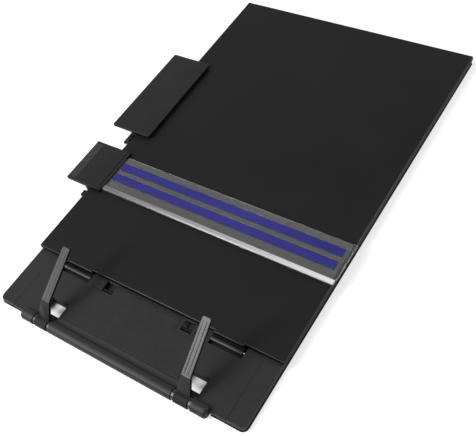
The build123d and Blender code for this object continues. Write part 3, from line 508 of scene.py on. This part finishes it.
# Metal pieces and the laid-in film keep their solids
plainNodes = {
    groundSteel: ["hinge_stubs", "left_latch_pin", "right_latch_pin", "leg_pin", "arm_rod", "clip_pin",
                  "guide_pin"],
    platedSteel: ["cover_screws", "bracket_screws", "slider_screws"],
    springWire: ["slider_spring"],
    blueFilm: ["guide_stripes"],
}
for material, names in plainNodes.items():
    for name in names:
        frame["nodes"][name].data.materials.clear()
        frame["nodes"][name].data.materials.append(material)
print("metal and film finished")


# Round sides are shaded smooth, and many-sided ends flat
def smoothSides(shape):
    for face in shape.faces:
        face.smooth = len(face.verts) == 4


# Coils of dark phosphated wire
def startCoil(centre, axis, radius, wire, sides):
    shape = bmesh.new()
    across = Vector((0, 0, 1))
    ring = bmesh.ops.create_circle(shape, segments=sides, radius=wire / 2)["verts"]
    along = Matrix((across, axis, across.cross(axis))).transposed()
    bmesh.ops.rotate(shape, verts=ring, matrix=along.to_4x4(), cent=(0, 0, 0))
    bmesh.ops.translate(shape, verts=ring, vec=centre + across * radius)
    return shape


def addCoil(node, look):
    low, high = [Vector(corner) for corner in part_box(node)]
    axis = Vector(look["axis"])
    wire = look["wire"] * mm
    length = (high - low).dot(axis) - wire
    centre = (low + high) / 2 - axis * length / 2
    shape = startCoil(centre, axis, (high.z - low.z - wire) / 2, wire, look["sides"])
    steps = look["turns"] * look["steps"]
    bmesh.ops.spin(shape, geom=shape.edges[:], cent=centre, axis=axis, dvec=axis * length / steps,
                   angle=2 * math.pi * look["turns"], steps=steps)
    bmesh.ops.holes_fill(shape, edges=[edge for edge in shape.edges if edge.is_boundary])
    bmesh.ops.recalc_face_normals(shape, faces=shape.faces)
    smoothSides(shape)
    coil = addPiece(shape, node + "_coil", springWire, bodyOf[node], "spring_steel", node)
    if "joint" in look:
        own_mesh(coil)


coils = {
    "left_latch_spring": {"axis": (1, 0, 0), "wire": 0.4, "sides": 8, "turns": 13, "steps": 14,
                          "joint": "left_latch_squeeze", "anchor": "high", "keep": 0.5},
    "right_latch_spring": {"axis": (1, 0, 0), "wire": 0.4, "sides": 8, "turns": 13, "steps": 14,
                           "joint": "right_latch_squeeze", "anchor": "low", "keep": 0.5},
    "clip_spring": {"axis": (0, 1, 0), "wire": 0.6, "sides": 8, "turns": 28, "steps": 14},
}
for node, look in coils.items():
    addCoil(node, look)
print("coils wound:", len(coils))


# Small pieces that the solids leave out
def addRod(shape, low, high, radius, sides):
    ends = [Vector(end) * mm for end in (low, high)]
    axis = ends[1] - ends[0]
    made = bmesh.ops.create_cone(shape, cap_ends=True, segments=sides, radius1=radius * mm,
                                 radius2=radius * mm, depth=axis.length)["verts"]
    bmesh.ops.rotate(shape, verts=made, matrix=axis.to_track_quat("Z", "Y").to_matrix(), cent=(0, 0, 0))
    bmesh.ops.translate(shape, verts=made, vec=(ends[0] + ends[1]) / 2)


def addBlock(shape, low, high):
    made = bmesh.ops.create_cube(shape, size=1)["verts"]
    bmesh.ops.scale(shape, verts=made, vec=(Vector(high) - Vector(low)) * mm)
    bmesh.ops.translate(shape, verts=made, vec=(Vector(high) + Vector(low)) / 2 * mm)
    return made


# Turned sleeve of each board hinge, smoother than the board that it hangs from
hingeSleeve = {"spans": [(-75.6, -48.0), (71.4, 99.0)], "axis": (-144.125, 4.7), "radius": 2.13, "sides": 28}


def makeHingeSleeves(look):
    shape = bmesh.new()
    for left, right in look["spans"]:
        addRod(shape, (left, *look["axis"]), (right, *look["axis"]), look["radius"], look["sides"])
    smoothSides(shape)
    addPiece(shape, "hinge_sleeves", satinBlack, "board", "ledge_black")


makeHingeSleeves(hingeSleeve)


# Ramp at the inner end of each latch well: its top rises from a low step to the well's inner wall
wellRamp = {"spans": [(-25.0, -22.2), (48.4, 45.6)], "front": -145.9, "back": -140.4,
            "low": 1.9, "step": 2.5, "high": 5.2}


def makeWellRamps(look):
    shape = bmesh.new()
    for foot, top in look["spans"]:
        made = addBlock(shape, (min(foot, top), look["front"], look["low"]),
                        (max(foot, top), look["back"], look["high"]))
        middle = Vector((foot + top, 0, look["low"] + look["high"])) / 2 * mm
        towardsFoot = foot - top
        steps = [vert for vert in made if vert.co.z > middle.z and (vert.co.x - middle.x) * towardsFoot > 0]
        bmesh.ops.translate(shape, verts=steps, vec=(0, 0, (look["step"] - look["high"]) * mm))
    addPiece(shape, "well_ramps", satinBlack, "base", "ledge_black")


makeWellRamps(wellRamp)


# Dark sleeve over the knuckle of the line guide, with the leaf that joins it to the strip
guideSleeve = {"axis": (-96.4, 12.0), "ends": (-65.4, -32.3), "radius": 1.62, "sides": 24,
               "leaf": (-96.4, -93.7), "heights": (10.45, 12.06), "edge": 0.1}


def makeGuideSleeve(look):
    shape = bmesh.new()
    x, z = look["axis"]
    front, back = look["ends"]
    addRod(shape, (x, front, z), (x, back, z), look["radius"], look["sides"])
    left, right = look["leaf"]
    low, high = look["heights"]
    leaf = addBlock(shape, (left, front, low), (right, back, high))
    roundCorners(shape, list({side for vert in leaf for side in vert.link_edges}), look["edge"])
    smoothSides(shape)
    addPiece(shape, "guide_sleeve", mattBlack, "line_guide", "clip_black")


makeGuideSleeve(guideSleeve)


# Free leg of the clip's coil, under the lever that it presses on
springLeg = {"start": (-114.7, 47.9, 11.2), "end": (-104.0, 47.9, 11.95), "wire": 0.6, "sides": 10}


def makeSpringLeg(look):
    shape = bmesh.new()
    addRod(shape, look["start"], look["end"], look["wire"] / 2, look["sides"])
    smoothSides(shape)
    addPiece(shape, "clip_spring_leg", springWire, "clip_lever", "spring_steel")


makeSpringLeg(springLeg)
print("sleeves, ramps and spring leg made")


# Light: soft lamps at a plain level, and a white surround
scene = bpy.context.scene


def addLamp(name, look):
    data = bpy.data.lights.new(name, "AREA")
    data.shape = "RECTANGLE"
    data.size, data.size_y = look["size"]
    data.energy = look["power"]
    lamp = bpy.data.objects.new(name, data)
    scene.collection.objects.link(lamp)
    direction = Vector(look["from"]).normalized()
    lamp.location = Vector(look["aim"]) + direction * look["distance"]
    lamp.rotation_euler = direction.to_track_quat("Z", "Y").to_euler()


lamps = {
    "front softbox": {"from": (-0.455, -0.675, 0.581), "aim": (0, -0.14, 0.02), "distance": 1.2,
                      "size": (0.21, 0.5), "power": 9.0},
    "side softbox": {"from": (0.778, 0.439, 0.449), "aim": (0, 0, 0), "distance": 1.3,
                     "size": (0.22, 0.3), "power": 4.5},
    "top softbox": {"from": (-0.45, -0.3, 0.84), "aim": (0, -0.1, 0), "distance": 1.3,
                    "size": (0.5, 1.1), "power": 9.0},
}
for name, look in lamps.items():
    addLamp(name, look)


# 1 for the rays that look straight, by mirror or through glass at the background, else 0
def seenDirectly(tree):
    rays = addNode(tree, "ShaderNodeLightPath").outputs
    first = addNode(tree, "ShaderNodeMath", {"operation": "MAXIMUM"},
                    {0: rays["Is Camera Ray"], 1: rays["Is Glossy Ray"]})
    return addNode(tree, "ShaderNodeMath", {"operation": "MAXIMUM"},
                   {0: first, 1: rays["Is Transmission Ray"]})


worldLook = {"colour": "#ffffff", "ambient": 0.14, "seen": 1.0}


def makeWorld(look):
    world = bpy.data.worlds.new("white studio")
    world.use_nodes = True
    tree = world.node_tree
    tree.nodes.clear()
    level = addNode(tree, "ShaderNodeMapRange", {"To Min": look["ambient"], "To Max": look["seen"]},
                    {"Value": seenDirectly(tree)})
    sky = addNode(tree, "ShaderNodeBackground", {"Color": hexColour(look["colour"])}, {"Strength": level})
    addNode(tree, "ShaderNodeOutputWorld", links={"Surface": sky})
    scene.world = world


makeWorld(worldLook)


# The desk's own glow stops under the holder's base, where its windows show the desk in shade
deskLook = {"colour": "#dcdcdc", "glow": 0.62, "size": 3.0,
            "base": {"middle": (0.0117, 0.003), "half": (0.117, 0.186), "fade": 0.004}}


def outsideBase(tree, place, look):
    parts = addNode(tree, "ShaderNodeSeparateXYZ", links={"Vector": place}).outputs
    shares = []
    for axis, middle, half in zip("XY", look["middle"], look["half"]):
        away = addNode(tree, "ShaderNodeMath", {"operation": "SUBTRACT", 1: middle}, {0: parts[axis]})
        reach = addNode(tree, "ShaderNodeMath", {"operation": "ABSOLUTE"}, {0: away})
        settings = {"From Min": half - look["fade"], "From Max": half, "To Min": 0.0, "To Max": 1.0}
        shares.append(addNode(tree, "ShaderNodeMapRange", settings, {"Value": reach}))
    return addNode(tree, "ShaderNodeMath", {"operation": "MAXIMUM"}, {0: shares[0], 1: shares[1]})


def makeDesk(look):
    shape = bmesh.new()
    bmesh.ops.create_grid(shape, x_segments=1, y_segments=1, size=look["size"])
    mesh = bpy.data.meshes.new("desk")
    shape.to_mesh(mesh)
    shape.free()
    desk = bpy.data.objects.new("desk", mesh)
    scene.collection.objects.link(desk)
    material, tree, place = startMaterial("white desk")
    paint = addNode(tree, "ShaderNodeBsdfDiffuse", {"Color": hexColour(look["colour"])})
    level = addNode(tree, "ShaderNodeMath", {"operation": "MULTIPLY", 1: look["glow"]},
                    {0: seenDirectly(tree)})
    glow = addNode(tree, "ShaderNodeMath", {"operation": "MULTIPLY"},
                   {0: level, 1: outsideBase(tree, place, look["base"])})
    light = addNode(tree, "ShaderNodeEmission", links={"Strength": glow})
    both = addNode(tree, "ShaderNodeAddShader", links={0: paint, 1: light})
    addNode(tree, "ShaderNodeOutputMaterial", links={"Surface": both})
    mesh.materials.append(material)


makeDesk(deskLook)
scene.view_settings.view_transform = "Standard"
print("light and surround set")
